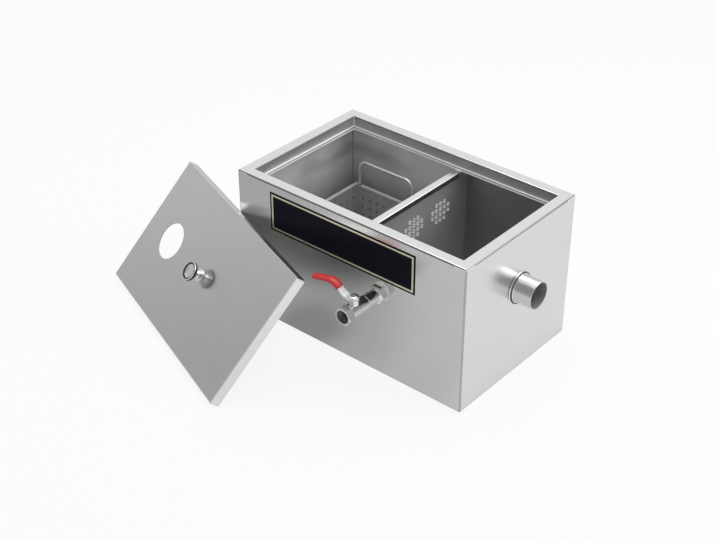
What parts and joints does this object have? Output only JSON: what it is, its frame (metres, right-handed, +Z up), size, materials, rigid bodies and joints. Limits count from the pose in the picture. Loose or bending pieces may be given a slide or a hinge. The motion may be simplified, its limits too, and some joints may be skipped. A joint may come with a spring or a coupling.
{
  "type": "grease trap",
  "caption": "Open stainless grease trap with folded rim, perforated divider, strainer basket, outlet pipe, drain valve with red lever, and its lid leaning against it.",
  "frame": {"origin": "middle of the tank's underside", "axes": "+X along the tank towards the outlet pipe, +Y from the valve side to the back, +Z up"},
  "size_m": [0.7844, 0.572, 0.285],
  "materials": {
    "tank_steel": "fine brushed",
    "rim_steel": "fine brushed",
    "divider_steel": "fine brushed",
    "basket_steel": "mill finish",
    "wire_steel": "bright wire",
    "pipe_steel": "polished",
    "label_black": "satin",
    "lid_steel": "fine brushed",
    "knob_chrome": "polished",
    "washer_rubber": "matt",
    "valve_chrome": "polished",
    "seal_white": "matt",
    "lever_steel": "plated",
    "sleeve_red": "soft dipped"
  },
  "bodies": {
    "tank": {"tank_floor": "tank_steel", "tank_front": "tank_steel", "tank_rear": "tank_steel", "tank_left": "tank_steel", "tank_right": "tank_steel", "rim_front": "rim_steel", "rim_rear": "rim_steel", "rim_left": "rim_steel", "rim_right": "rim_steel", "divider": "divider_steel", "divider_cap": "divider_steel", "basket_floor": "basket_steel", "basket_front": "basket_steel", "basket_rear": "basket_steel", "basket_left": "basket_steel", "basket_right": "basket_steel", "basket_front_handle": "wire_steel", "basket_rear_handle": "wire_steel", "outlet_pipe": "pipe_steel", "outlet_elbow": "pipe_steel", "label_plate": "label_black", "lid_top": "lid_steel", "lid_front": "lid_steel", "lid_rear": "lid_steel", "lid_left": "lid_steel", "lid_right": "lid_steel", "lid_knob": "knob_chrome", "knob_screw": "wire_steel", "drain_outer_washer": "washer_rubber", "drain_inner_washer": "washer_rubber", "drain_locknut": "valve_chrome", "valve_body": "valve_chrome", "valve_end_cap": "valve_chrome", "valve_seats": "seal_white", "stem_packing": "seal_white", "gland_nut": "valve_chrome"},
    "valve_lever": {"valve_ball": "valve_chrome", "valve_stem": "valve_chrome", "lever": "lever_steel", "lever_sleeve": "sleeve_red", "lever_nut": "valve_chrome"}
  },
  "joints": [
    {"name": "lever_turn", "type": "hinge", "parent": "tank", "child": "valve_lever", "pos_m": [0.079, -0.225, 0.171], "axis": [0, 0, 1], "range_deg": [0, 90]}
  ]
}
